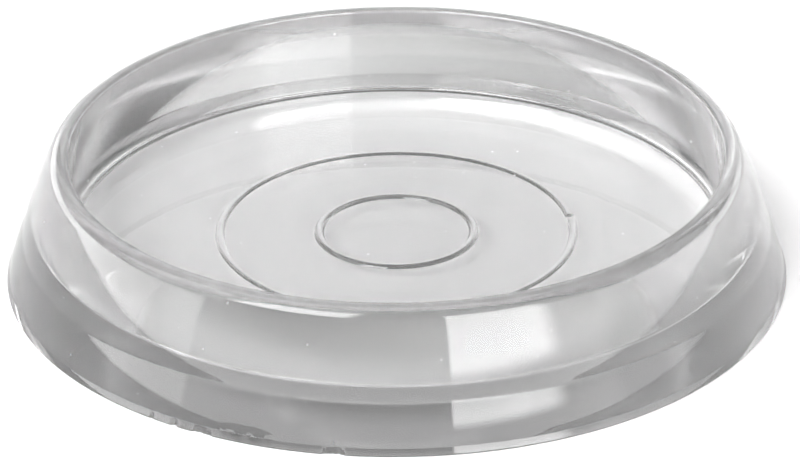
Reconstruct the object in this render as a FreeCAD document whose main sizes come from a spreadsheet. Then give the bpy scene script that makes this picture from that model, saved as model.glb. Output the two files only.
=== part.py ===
import FreeCAD, Part
import Sketcher
import math
import os

# Castor cup: a shallow round dish, moulded in one piece of clear plastic, that
# stands under a furniture castor or leg and spreads its load.
# Row frame: +Z is the axis of revolution and points up, the origin is the centre
# of the footprint, on the surface the cup stands on. All sizes are in millimetres.

V = FreeCAD.Vector
os.makedirs("parts", exist_ok=True)
doc = FreeCAD.newDocument("castor_cup")

# ---------------------------------------------------------------- dimensions
DIMS = [
    # outside, from the table up
    ("base_radius", 36.05, "widest radius, at the bottom edge"),
    ("land_radius", 35.73, "radius at the top of the short land above the bottom edge"),
    ("land_height", 0.75, "height of that land"),
    ("skirt_arc_radius", 29.0, "gentle barrel curve of the lower skirt"),
    ("waist_radius", 34.45, "shallow waist between the lower skirt and the upper band"),
    ("waist_height", 4.60, "height of that waist"),
    ("band_arc_radius", 45.0, "gentle barrel curve of the upper band"),
    # rim and recess
    ("rim_height", 12.42, "overall height"),
    ("rim_outer_radius", 31.55,"where the outside would meet the top of the rim if it were not rounded"),
    ("rim_inner_radius", 30.07, "where the recess wall would meet it"),
    ("recess_radius", 30.02, "radius of the recess at its floor"),
    ("floor_height", 4.00, "height of the recess floor above the flat underside"),
    # raised rings on the recess floor
    ("ring_large_radius", 16.28, "mean radius of the large ring"),
    ("ring_large_width", 0.85, "its width"),
    ("ring_large_rise", 0.16, "how far it stands up from the floor"),
    ("ring_small_radius", 7.14, "mean radius of the small ring"),
    ("ring_small_width", 0.90, "its width"),
    ("ring_small_rise", 0.28, "how far it stands up from the floor"),
    ("ring_root", 0.20, "how deep the rings' sections reach into the floor"),
    # edge radii
    ("fillet_rim_inner", 0.30, "rounding of the rim, recess side"),
    ("fillet_rim_outer", 1.55, "rounding of the rim, outer side"),
    ("fillet_floor", 0.45, "corner between the recess wall and floor"),
    ("fillet_waist", 4.00, "soft hollow at the waist"),
    ("fillet_land", 0.60, "rounding at the top of the land"),
    ("fillet_base", 0.12, "broken bottom edge"),
]
sheet = doc.addObject("Spreadsheet::Sheet", "dims")
val = {}
for i, (alias, value, note) in enumerate(DIMS, start=1):
    sheet.set("A%d" % i, alias)
    sheet.set("B%d" % i, "%.4f" % value)
    sheet.setAlias("B%d" % i, alias)
    sheet.set("C%d" % i, note)
    val[alias] = value
doc.recompute()


# ------------------------------------------------------------------- helpers
def plane_of(body, role):
    """One of the body's own origin planes, by its role."""
    for f in body.Origin.OriginFeatures:
        if f.Role == role:
            return f
    raise RuntimeError("no plane " + role)


def new_sketch(body, name):
    sk = body.newObject("Sketcher::SketchObject", name)
    sk.AttachmentSupport = [(plane_of(body, "XZ_Plane"), "")]
    sk.MapMode = "FlatFace"
    return sk


def size_of(expr):
    """The number that a sum of sheet terms such as 'a + b/2' stands for."""
    total, sign = 0.0, 1.0
    for word in expr.split():
        if word == "+":
            sign = 1.0
        elif word == "-":
            sign = -1.0
        else:
            name, _, div = word.partition("/")
            number = val[name] if name in val else float(name)
            total += sign * (number / float(div) if div else number)
    return total


def sheet_expr(expr):
    """The same expression with each name read from the sheet."""
    words = []
    for word in expr.split():
        name, _, div = word.partition("/")
        words.append(("dims." + name if name in val else name) + (" / " + div if div else "") if word not in "+-" else word)
    return " ".join(words)


def closed_section(sk, corners, arcs=None):
    """A closed half-section from its corners, each (radius, height) in sheet terms.

    arcs maps the number of a side to (radius term, bulge direction): that side is
    an arc of that radius instead of a straight line. A radius term of '0' puts the
    corner on the axis, and a height term of '0' puts it on the table plane.
    """
    arcs = arcs or {}
    pts = [V(size_of(r), size_of(h), 0) for r, h in corners]
    n = len(pts)
    for i in range(n):
        a, b = pts[i], pts[(i + 1) % n]
        if i in arcs:
            term, side = arcs[i]
            rad = size_of(term)
            mid, half = (a + b) * 0.5, (b - a).Length / 2
            normal = V(-(b - a).y, (b - a).x, 0).normalize()
            centre = mid - normal * (side * math.sqrt(rad * rad - half * half))
            a0 = math.atan2(a.y - centre.y, a.x - centre.x)
            a1 = math.atan2(b.y - centre.y, b.x - centre.x)
            turn = (a1 - a0 + math.pi) % (2 * math.pi) - math.pi
            lo, hi = (a0, a0 + turn) if turn > 0 else (a0 + turn, a0)
            sk.addGeometry(Part.ArcOfCircle(Part.Circle(centre, V(0, 0, 1), rad), lo, hi), False)
        else:
            sk.addGeometry(Part.LineSegment(a, b), False)

    def ends(i):
        """(start point number, end point number) of side i, along the section."""
        g = sk.Geometry[i]
        return (1, 2) if (g.StartPoint - pts[i]).Length < (g.EndPoint - pts[i]).Length else (2, 1)

    for i in range(n):
        j = (i + 1) % n
        sk.addConstraint(Sketcher.Constraint("Coincident", i, ends(i)[1], j, ends(j)[0]))
    for i, (r, h) in enumerate(corners):
        p = ends(i)[0]
        if r == "0":
            sk.addConstraint(Sketcher.Constraint("PointOnObject", i, p, -2))
        else:
            k = sk.addConstraint(Sketcher.Constraint("DistanceX", -1, 1, i, p, pts[i].x))
            sk.setExpression("Constraints[%d]" % k, sheet_expr(r))
        if h == "0":
            sk.addConstraint(Sketcher.Constraint("PointOnObject", i, p, -1))
        else:
            k = sk.addConstraint(Sketcher.Constraint("DistanceY", -1, 1, i, p, pts[i].y))
            sk.setExpression("Constraints[%d]" % k, sheet_expr(h))
    for i, (term, side) in arcs.items():
        k = sk.addConstraint(Sketcher.Constraint("Radius", i, size_of(term)))
        sk.setExpression("Constraints[%d]" % k, sheet_expr(term))


def revolve(body, kind, sk, name):
    f = body.newObject(kind, name)
    f.Profile = sk
    f.ReferenceAxis = (sk, ["V_Axis"])
    f.Angle = 360.0
    sk.Visibility = False
    doc.recompute()
    return f


def circle_edges(shape, radius, height, tol=0.02):
    """Names of the circular edges about the axis with this radius and height."""
    found = []
    for k, e in enumerate(shape.Edges, start=1):
        c = e.Curve
        if isinstance(c, Part.Circle) and abs(c.Radius - radius) < tol and abs(c.Center.z - height) < tol:
            found.append("Edge%d" % k)
    if not found:
        raise RuntimeError("no circular edge at radius %.3f height %.3f" % (radius, height))
    return found


def round_edges(body, base, name, alias, places):
    names = []
    for r, h in places:
        names += circle_edges(base.Shape, size_of(r), size_of(h))
    f = body.newObject("PartDesign::Fillet", name)
    f.Base = (base, names)
    f.Radius = val[alias]
    f.setExpression("Radius", "dims." + alias)
    doc.recompute()
    return f


# ------------------------------------------------------------------- the cup
body = doc.addObject("PartDesign::Body", "castor_cup")
body.Label = "castor_cup"
doc.recompute()

# Half-section: recess floor and wall, rim, upper band, waist, flared skirt and the
# flat underside. The ring round the recess is solid, so the section is one wedge.
section = new_sketch(body, "cup_section")
closed_section(
    section,
    [
        ("0", "floor_height"),
        ("recess_radius", "floor_height"),
        ("rim_inner_radius", "rim_height"),
        ("rim_outer_radius", "rim_height"),
        ("waist_radius", "waist_height"),
        ("land_radius", "land_height"),
        ("base_radius", "0"),
        ("0", "0"),
    ],
    arcs={3: ("band_arc_radius", 1), 4: ("skirt_arc_radius", 1)},
)
doc.recompute()
cup = revolve(body, "PartDesign::Revolution", section, "cup_turned")

# Edge radii.
cup = round_edges(body, cup, "waist_rounding", "fillet_waist", [("waist_radius", "waist_height")])
cup = round_edges(body, cup, "rim_inner_rounding", "fillet_rim_inner", [("rim_inner_radius", "rim_height")])
cup = round_edges(body, cup, "rim_outer_rounding", "fillet_rim_outer", [("rim_outer_radius", "rim_height")])
cup = round_edges(body, cup, "floor_corner", "fillet_floor", [("recess_radius", "floor_height")])
cup = round_edges(body, cup, "land_rounding", "fillet_land", [("land_radius", "land_height")])
cup = round_edges(body, cup, "base_rounding", "fillet_base", [("base_radius", "0")])

# Two concentric rings, low round-topped beads rooted in the recess floor.
for ring in ("ring_large", "ring_small"):
    sk = new_sketch(body, ring + "_section")
    r, w, d = size_of(ring + "_radius"), size_of(ring + "_width"), size_of(ring + "_rise")
    z = size_of("floor_height")
    inner, outer = "%s_radius - %s_width/2" % (ring, ring), "%s_radius + %s_width/2" % (ring, ring)
    top, root = "floor_height", "floor_height - ring_root"
    right, left = V(size_of(outer), z, 0), V(size_of(inner), z, 0)
    left_root, right_root = V(left.x, size_of(root), 0), V(right.x, size_of(root), 0)
    sk.addGeometry(Part.Arc(right, V(r, z + d, 0), left), False)
    sk.addGeometry(Part.LineSegment(left, left_root), False)
    sk.addGeometry(Part.LineSegment(left_root, right_root), False)
    sk.addGeometry(Part.LineSegment(right_root, right), False)
    a_right = 1 if (sk.Geometry[0].StartPoint - right).Length < 1e-6 else 2
    sk.addConstraint(Sketcher.Constraint("Coincident", 0, 3 - a_right, 1, 1))
    sk.addConstraint(Sketcher.Constraint("Coincident", 1, 2, 2, 1))
    sk.addConstraint(Sketcher.Constraint("Coincident", 2, 2, 3, 1))
    sk.addConstraint(Sketcher.Constraint("Coincident", 3, 2, 0, a_right))
    for side, point, place, terms in (
        (1, 1, left, (inner, top)),
        (2, 1, left_root, (inner, root)),
        (3, 1, right_root, (outer, root)),
        (3, 2, right, (outer, top)),
    ):
        for kind, number, term in (("DistanceX", place.x, terms[0]), ("DistanceY", place.y, terms[1])):
            k = sk.addConstraint(Sketcher.Constraint(kind, -1, 1, side, point, number))
            sk.setExpression("Constraints[%d]" % k, sheet_expr(term))
    k = sk.addConstraint(Sketcher.Constraint("DistanceY", -1, 1, 0, 3, z + d - (w * w / 4 + d * d) / (2 * d)))
    sk.setExpression("Constraints[%d]" % k,
                     "dims.floor_height + dims.{0}_rise - (dims.{0}_width * dims.{0}_width / 4 + dims.{0}_rise * dims.{0}_rise) / (2 * dims.{0}_rise)".format(ring))
    doc.recompute()
    before = cup.Shape.Volume
    cup = revolve(body, "PartDesign::Revolution", sk, ring + "_bead")
    if not cup.Shape.Volume - before > 1.0:
        raise RuntimeError(ring + " added nothing")

body.Tip = cup
doc.recompute()
body.Placement = FreeCAD.Placement(V(0, 0, 0), FreeCAD.Rotation())
doc.recompute()

# -------------------------------------------------------------------- checks
for obj in doc.Objects:
    if "Invalid" in obj.State or "Error" in obj.State:
        raise RuntimeError("failed object: %s %s" % (obj.Name, obj.State))
for sk in doc.findObjects("Sketcher::SketchObject"):
    if sk.solve() != 0:
        raise RuntimeError("sketch does not solve: " + sk.Name)
shape = body.Shape
if shape.isNull() or not shape.isValid() or len(shape.Solids) != 1:
    raise RuntimeError("the cup is not one valid solid")
box = shape.optimalBoundingBox()
print("castor_cup: %.2f x %.2f x %.2f mm, volume %.1f mm3" % (box.XLength, box.YLength, box.ZLength, shape.Volume))

shape.exportStep("parts/%s.step" % body.Label)
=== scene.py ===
# Looks of a clear moulded castor cup: one solid of revolution, polished outside,
# a little hazed and tinted with painted shade on the wall of its recess, worn along its foot.
import math

import bpy
import bmesh
import numpy as np
from mathutils import Matrix, Vector


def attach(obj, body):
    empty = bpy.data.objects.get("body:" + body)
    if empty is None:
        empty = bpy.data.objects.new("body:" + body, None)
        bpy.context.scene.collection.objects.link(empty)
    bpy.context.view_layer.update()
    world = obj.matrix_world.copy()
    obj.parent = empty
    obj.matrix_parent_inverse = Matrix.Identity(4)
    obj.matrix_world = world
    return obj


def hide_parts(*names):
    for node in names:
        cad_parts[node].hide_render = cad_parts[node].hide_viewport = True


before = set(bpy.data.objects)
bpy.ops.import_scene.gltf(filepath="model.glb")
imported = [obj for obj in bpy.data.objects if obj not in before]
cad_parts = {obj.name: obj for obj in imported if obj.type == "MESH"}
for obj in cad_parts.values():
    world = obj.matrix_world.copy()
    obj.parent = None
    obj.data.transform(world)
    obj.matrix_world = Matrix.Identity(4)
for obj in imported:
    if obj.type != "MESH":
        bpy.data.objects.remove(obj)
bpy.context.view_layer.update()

MM = 0.001

# ---------------------------------------------------------------- section
# Half section in millimetres, from the middle of the recess floor, over the rim
# and down the outside to the middle of the underside: (radius, height, fillet).


def arc_points(a, b, radius, n):
    """Points from a to b on an arc that bulges outward."""
    a, b = np.array(a, float), np.array(b, float)
    mid, half = (a + b) / 2, np.linalg.norm(b - a) / 2
    along = (b - a) / (2 * half)
    out = np.array([-along[1], along[0]])
    if out[0] < 0:
        out = -out
    c = mid - out * math.sqrt(radius * radius - half * half)
    t0 = math.atan2(a[1] - c[1], a[0] - c[0])
    t1 = math.atan2(b[1] - c[1], b[0] - c[0])
    turn = (t1 - t0 + math.pi) % (2 * math.pi) - math.pi
    return [
        (
            c[0] + radius * math.cos(t0 + turn * k / n),
            c[1] + radius * math.sin(t0 + turn * k / n),
        )
        for k in range(n + 1)
    ]


def bead(r, width, rise, z, n):
    """Points across a low rounded bead, from its inner to its outer edge."""
    rad = (width * width / 4 + rise * rise) / (2 * rise)
    pts = []
    for k in range(n + 1):
        x = -width / 2 + width * k / n
        pts.append((r + x, z + (math.sqrt(rad * rad - x * x) - (rad - rise))))
    return pts


FLOOR_Z, RECESS_R = 4.00, 30.02
RIM_Z, RIM_IN, RIM_OUT = 12.42, 30.07, 31.55
WAIST, LAND, BASE_R = (34.45, 4.60), (35.73, 0.75), 36.05
RING_SMALL, RING_LARGE = (7.14, 0.90, 0.28), (16.28, 0.85, 0.16)


def corners():
    pts = [(0, FLOOR_Z, 0)]
    for r, w, h in (RING_SMALL, RING_LARGE):
        pts += [(x, z, 0) for x, z in bead(r, w, h, FLOOR_Z, 10)]
    pts += [(RECESS_R, FLOOR_Z, 0.45), (RIM_IN, RIM_Z, 0.30), (RIM_OUT, RIM_Z, 1.55)]
    band = arc_points((RIM_OUT, RIM_Z), WAIST, 45.0, 15)
    pts += [(*p, 0) for p in band[4:-1]]
    pts.append((*WAIST, 4.0))
    pts += [(*p, 0) for p in arc_points(WAIST, LAND, 29.0, 8)[1:-1]]
    pts += [(*LAND, 0.60), (BASE_R, 0, 0.12), (0, 0, 0)]
    return pts


def rounded(pts, n=8):
    """Rounds each corner that has a fillet, and keeps a narrow strip beside it so that flat faces shade flat."""
    out = []
    for i, (x, y, rad) in enumerate(pts):
        if rad <= 0 or i in (0, len(pts) - 1):
            out.append((x, y))
            continue
        p = np.array([x, y])
        a, b = np.array(pts[i - 1][:2]) - p, np.array(pts[i + 1][:2]) - p
        la, lb = np.linalg.norm(a), np.linalg.norm(b)
        a, b = a / la, b / lb
        ang = math.acos(float(np.clip(a @ b, -1, 1)))
        d = min(rad / math.tan(ang / 2), 0.78 * la, 0.78 * lb)
        rr = d * math.tan(ang / 2)
        t1, t2 = p + a * d, p + b * d
        c = p + (a + b) / np.linalg.norm(a + b) * (rr / math.sin(ang / 2))
        a1, a2 = math.atan2(*(t1 - c)[::-1]), math.atan2(*(t2 - c)[::-1])
        da = (a2 - a1 + math.pi) % (2 * math.pi) - math.pi
        for k in range(n + 1):
            t = a1 + da * k / n
            out.append((c[0] + rr * math.cos(t), c[1] + rr * math.sin(t)))
    strips = [out[0]]
    for p, q in zip(out[:-1], out[1:]):
        length = math.hypot(q[0] - p[0], q[1] - p[1])
        if length > 2.0:
            u = ((q[0] - p[0]) / length, (q[1] - p[1]) / length)
            if p[0] > 1e-6:
                strips.append((p[0] + 0.03 * u[0], p[1] + 0.03 * u[1]))
            if q[0] > 1e-6:
                strips.append((q[0] - 0.03 * u[0], q[1] - 0.03 * u[1]))
        strips.append(q)
    return strips


section = rounded(corners())

# ---------------------------------------------------------------- mesh

SEG = 480

# Chips along the foot and a dent over them: degrees round from the front (towards +X),
# half length, depth, height of the middle, half height, in millimetres.
CHIPS = [
    (-33.6, 0.38, 0.34, 0.0, 0.75),
    (-29.4, 0.78, 0.30, 0.0, 0.70),
    (-27.9, 0.40, 0.18, 0.0, 0.45),
    (-10.0, 0.55, 0.24, 0.0, 0.60),
    (-8.6, 0.75, 0.32, 0.0, 0.75),
    (-22.0, 2.60, 0.07, 0.85, 0.30),
    (-37.5, 0.25, 0.16, 0.0, 0.50),
]
NICK = 9.0  # where the large ring is worn low, in degrees from +X


def worn(r, z, t):
    """Takes material away at the chips, the dent and the nick in the large ring."""
    if r > 34.5:
        for at, half, depth, mid, tall in CHIPS:
            s = 36 * ((t - math.radians(at - 90) + math.pi) % (2 * math.pi) - math.pi) / half
            v = (z - mid) / tall
            if s * s + v * v < 1:
                facet = 0.8 + 0.2 * math.sin(9 * s + 5 * v)
                r -= depth * (1 - s * s - v * v) * facet
    elif 15.8 < r < 16.8 and z > FLOOR_Z:
        s = (math.degrees(t) - NICK + 180) % 360 - 180
        z -= (z - FLOOR_Z) * 0.8 * max(0.0, 1 - (s / 1.6) ** 2)
    return r, z


turns = {round(360.0 * k / SEG, 4) for k in range(SEG)}
for at, half, *_ in CHIPS:
    span = math.degrees(half / 36) * 1.1
    turns |= {round((at - 90 + span * k / 8) % 360, 4) for k in range(-8, 9)}
turns |= {round((NICK + 0.3 * k) % 360, 4) for k in range(-6, 7)}
turns = [math.radians(t) for t in sorted(turns)]


def lathe(name, prof, angles):
    bm = bmesh.new()
    rings = []
    for r, z in prof:
        if r < 1e-6:
            rings.append([bm.verts.new((0, 0, z * MM))])
        else:
            ring = []
            for t in angles:
                rw, zw = worn(r, z, t)
                ring.append(bm.verts.new((rw * MM * math.cos(t), rw * MM * math.sin(t), zw * MM)))
            rings.append(ring)
    m = len(angles)
    for a, b in zip(rings[:-1], rings[1:]):
        for k in range(m):
            k2 = (k + 1) % m
            if len(a) == 1:
                f = (a[0], b[k], b[k2])
            elif len(b) == 1:
                f = (a[k], b[0], a[k2])
            else:
                f = (a[k], b[k], b[k2], a[k2])
            bm.faces.new(f).smooth = True
    bmesh.ops.recalc_face_normals(bm, faces=bm.faces)
    me = bpy.data.meshes.new(name)
    bm.to_mesh(me)
    bm.free()
    me.set_sharp_from_angle(angle=math.radians(30))
    ob = bpy.data.objects.new(name, me)
    bpy.context.scene.collection.objects.link(ob)
    return ob


cup = lathe("castor_cup_clear", section, turns)

# ---------------------------------------------------------------- clear plastic

mat = bpy.data.materials.new("clear_plastic")
mat.use_nodes = True
nt = mat.node_tree
bsdf = nt.nodes["Principled BSDF"]
bsdf.inputs["Base Color"].default_value = (0.90, 0.90, 0.90, 1)
bsdf.inputs["IOR"].default_value = 1.585
bsdf.inputs["Transmission Weight"].default_value = 1.0
bsdf.inputs["Roughness"].default_value = 0.0
grey = nt.nodes.new("ShaderNodeVolumeAbsorption")
grey.inputs["Color"].default_value = (0.5, 0.5, 0.5, 1)
grey.inputs["Density"].default_value = 36.0
nt.links.new(grey.outputs[0], nt.nodes["Material Output"].inputs["Volume"])


def node(kind, **props):
    n = nt.nodes.new(kind)
    for k, v in props.items():
        setattr(n, k, v)
    return n


def maths(op, a, b=None, clamp=False):
    n = node("ShaderNodeMath", operation=op, use_clamp=clamp)
    for i, v in enumerate((a, b)):
        if v is None:
            continue
        if isinstance(v, (int, float)):
            n.inputs[i].default_value = v
        else:
            nt.links.new(v, n.inputs[i])
    return n.outputs[0]


def window(value, low, high, soft):
    """1 between low and high, with soft edges."""
    up = node("ShaderNodeMapRange", interpolation_type="SMOOTHSTEP")
    up.inputs["From Min"].default_value = low - soft
    up.inputs["From Max"].default_value = low + soft
    nt.links.new(value, up.inputs["Value"])
    dn = node("ShaderNodeMapRange", interpolation_type="SMOOTHSTEP")
    dn.inputs["From Min"].default_value = high - soft
    dn.inputs["From Max"].default_value = high + soft
    dn.inputs["To Min"].default_value = 1.0
    dn.inputs["To Max"].default_value = 0.0
    nt.links.new(value, dn.inputs["Value"])
    return maths("MULTIPLY", up.outputs[0], dn.outputs[0])


coord = node("ShaderNodeTexCoord")
split = node("ShaderNodeSeparateXYZ")
nt.links.new(coord.outputs["Object"], split.inputs[0])
px, py, pz = split.outputs
rad = maths("SQRT", maths("ADD", maths("MULTIPLY", px, px), maths("MULTIPLY", py, py)))
wall = maths(
    "MULTIPLY",
    window(rad, 29.7 * MM, 30.45 * MM, 0.05 * MM),
    window(pz, 4.4 * MM, 20 * MM, 0.3 * MM),
)
under = maths("MULTIPLY", window(pz, -1.0 * MM, 0.04 * MM, 0.03 * MM), window(rad, -1.0, 25.0 * MM, 2.0 * MM))
azm = maths("ARCTAN2", py, px)

# upright hairlines on the wall, and one light dotted scratch near its foot
hair = node("ShaderNodeTexNoise", noise_dimensions="2D")
hair.inputs["Scale"].default_value = 1.0
hair.inputs["Detail"].default_value = 0.0
lie = node("ShaderNodeCombineXYZ")
nt.links.new(maths("MULTIPLY", azm, 260.0), lie.inputs[0])
nt.links.new(maths("MULTIPLY", pz, 350.0), lie.inputs[1])
nt.links.new(lie.outputs[0], hair.inputs["Vector"])
hairs = maths("MULTIPLY", window(hair.outputs[0], 0.66, 2.0, 0.03), wall)
dots = node("ShaderNodeTexNoise", noise_dimensions="1D")
dots.inputs["Scale"].default_value = 1.0
dots.inputs["Detail"].default_value = 0.0
nt.links.new(maths("MULTIPLY", azm, 160.0), dots.inputs["W"])
scratch = maths("MULTIPLY", window(azm, 0.96, 1.18, 0.01), window(pz, 5.2 * MM, 5.3 * MM, 0.02 * MM))
scratch = maths("MULTIPLY", maths("MULTIPLY", scratch, wall), window(dots.outputs[0], 0.48, 2.0, 0.05))

# specks of dust
specks = node("ShaderNodeTexVoronoi", feature="F1")
specks.inputs["Scale"].default_value = 420.0
nt.links.new(coord.outputs["Object"], specks.inputs["Vector"])
pick = node("ShaderNodeSeparateColor")
nt.links.new(specks.outputs["Color"], pick.inputs[0])
dust = maths("MULTIPLY", maths("LESS_THAN", specks.outputs["Distance"], 0.055), maths("GREATER_THAN", pick.outputs[0], 0.55))

rough = maths("MULTIPLY", under, 0.2)
for mask, amount in ((hairs, 0.14), (scratch, 0.45), (dust, 0.5)):
    rough = maths("ADD", rough, maths("MULTIPLY", mask, amount))
nt.links.new(rough, bsdf.inputs["Roughness"])

# painted shade: the recess wall's transmission is tinted darker grey so that what is seen through it looks
# shaded
painted_shade_tone = maths("SUBTRACT", 0.90, maths("MULTIPLY", wall, 0.35))
painted_shade_colour = node("ShaderNodeCombineColor")
for i in range(3):
    nt.links.new(painted_shade_tone, painted_shade_colour.inputs[i])
nt.links.new(painted_shade_colour.outputs[0], bsdf.inputs["Base Color"])

cup.data.materials.append(mat)
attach(cup, "root")
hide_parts("castor_cup")

# ---------------------------------------------------------------- stage

floor_me = bpy.data.meshes.new("floor")
floor_me.from_pydata([(-4, -4, 0), (4, -4, 0), (4, 4, 0), (-4, 4, 0)], [], [(0, 1, 2, 3)])
floor = bpy.data.objects.new("floor", floor_me)
floor.location.z = -0.00005
bpy.context.scene.collection.objects.link(floor)
fm = bpy.data.materials.new("pale_floor")
fm.use_nodes = True
fb = fm.node_tree.nodes["Principled BSDF"]
fb.inputs["Base Color"].default_value = (0.9, 0.9, 0.9, 1)
fb.inputs["Roughness"].default_value = 0.5
fb.inputs["Specular IOR Level"].default_value = 0.1
floor_me.materials.append(fm)

world = bpy.data.worlds.new("studio")
bpy.context.scene.world = world
world.use_nodes = True
wt = world.node_tree
back = wt.nodes["Background"]


def wnode(kind, *values, **props):
    n = wt.nodes.new(kind)
    for k, v in props.items():
        setattr(n, k, v)
    for i, v in enumerate(values):
        if isinstance(v, (int, float)):
            n.inputs[i].default_value = v
        else:
            wt.links.new(v, n.inputs[i])
    return n.outputs[0]


def edge(value, at, soft):
    """Rises from 0 to 1 round this angle."""
    return wnode("ShaderNodeMapRange", value, at - soft, at + soft, 0.0, 1.0, interpolation_type="SMOOTHSTEP")


# The studio as seen from the cup. Azimuth 0 is the camera's side and grows towards +X.
wxyz = wt.nodes.new("ShaderNodeSeparateXYZ")
wt.links.new(wt.nodes.new("ShaderNodeTexCoord").outputs["Generated"], wxyz.inputs[0])
wx, wy, wz = wxyz.outputs
DEG = 180 / math.pi
elev = wnode("ShaderNodeMath", wnode("ShaderNodeMath", wz, operation="ARCSINE"), DEG, operation="MULTIPLY")
away = wnode("ShaderNodeMath", wy, -1.0, operation="MULTIPLY")
azim = wnode("ShaderNodeMath", wnode("ShaderNodeMath", wx, away, operation="ARCTAN2"), DEG, operation="MULTIPLY")
azim_back = wnode("ShaderNodeMath", azim, 360.0, operation="FLOORED_MODULO")

# name, azimuth from and to, elevation from and to, radiance, softness of each of those edges
SOFTBOXES = [
    ("key_right", 15.5, 47.5, 7, 36, 7.0, 0.6, 4, 2.5, 3),
    ("high_left", -58, -16, 31, 60, 9.0, 4, 3, 2, 4),
    ("high_left_far", -120, -58, 38, 60, 1.5, 8, 4, 2, 4),
    ("mid_left", -95, -58, 20, 36, 2.0, 6, 3, 3, 3),
    ("side_left", -125, -63, 0, 18, 5.0, 8, 1, 1, 4),
    ("side_left_far", -160, -125, 0, 18, 3.5, 8, 8, 1, 4),
    ("side_right", 66, 118, 0, 18, 2.8, 4, 8, 1, 4),
    ("back_right", 118, 150, 0, 18, 2.8, 8, 8, 1, 4),
    ("back_low", 150, 205, 0, 16, 0.9, 8, 8, 1, 5),
    ("back_high", 140, 220, 16, 40, 0.5, 8, 8, 5, 6),
    ("front", -63, 66, -1, 20, 2.0, 1, 4, 1, 9),
    ("front_low", -63, 66, -1, 11, 1.6, 1, 4, 1, 4),
]
total = 0.24
for name, a0, a1, e0, e1, radiance, sa0, sa1, se0, se1 in SOFTBOXES:
    az = azim_back if a1 > 180 else azim
    lit = wnode("ShaderNodeMath", edge(az, a0, sa0), edge(az, a1, sa1), operation="SUBTRACT")
    tall = wnode("ShaderNodeMath", edge(elev, e0, se0), edge(elev, e1, se1), operation="SUBTRACT")
    lit = wnode("ShaderNodeMath", lit, tall, operation="MULTIPLY")
    total = wnode("ShaderNodeMath", lit, radiance, total, operation="MULTIPLY_ADD")
    total.node.label = name
wt.links.new(total, back.inputs["Strength"])
back.inputs["Color"].default_value = (1, 1, 1, 1)


def panel(name, az0, az1, el0, el1, radiance, dist=1.2):
    """A softbox that fills this patch of the sky as seen from the cup."""
    az, el = math.radians((az0 + az1) / 2), math.radians((el0 + el1) / 2)
    w = 2 * dist * math.cos(el) * math.tan(math.radians(az1 - az0) / 2)
    h = 2 * dist * math.tan(math.radians(el1 - el0) / 2)
    light = bpy.data.lights.new(name, "AREA")
    light.shape = "RECTANGLE"
    light.size, light.size_y = max(w, h), h
    light.energy = radiance * math.pi * light.size * h
    ob = bpy.data.objects.new(name, light)
    bpy.context.scene.collection.objects.link(ob)
    place = Vector((math.cos(el) * math.sin(az), -math.cos(el) * math.cos(az), math.sin(el))) * dist
    ob.location = place
    ob.rotation_euler = (-place).to_track_quat("-Z", "Y").to_euler()
    return ob


overhead = panel("overhead", -20, 20, 70, 110, 0.4)

# ---------------------------------------------------------------- camera
# Fitted to the rim, the rings and the outline: 18 base radii away, looking down 27 degrees.

d, e, p, f, u0, roll = 18.0, 0.47625, 0.47082, 7007.0, 396.53, -0.00698
cam = bpy.data.cameras.new("camera")
cam_ob = bpy.data.objects.new("camera", cam)
bpy.context.scene.collection.objects.link(cam_ob)
fw = Vector((0, math.cos(p), -math.sin(p)))
up = Vector((0, math.sin(p), math.cos(p)))
rt = Vector((1, 0, 0))
rt2 = rt * math.cos(roll) + up * math.sin(roll)
up2 = up * math.cos(roll) - rt * math.sin(roll)
m = Matrix((rt2, up2, -fw)).transposed().to_4x4()
m.translation = Vector((0, -d * math.cos(e), d * math.sin(e))) * 0.036
cam_ob.matrix_world = m
cam.sensor_fit = "HORIZONTAL"
cam.sensor_width = 36
cam.lens = f / 800 * 36
cam.shift_x = (400 - u0) / 800
cam.clip_start, cam.clip_end = 0.001, 50
scene = bpy.context.scene
scene.camera = cam_ob

scene.view_settings.view_transform = "Standard"
scene.cycles.max_bounces = 20
scene.cycles.transmission_bounces = 20
scene.cycles.glossy_bounces = 20
scene.cycles.diffuse_bounces = 3
scene.cycles.caustics_refractive = True
scene.cycles.caustics_reflective = True
scene.cycles.blur_glossy = 0.0
scene.cycles.sample_clamp_indirect = 10
scene.cycles.use_denoising = True
scene.cycles.denoising_input_passes = "RGB_ALBEDO"
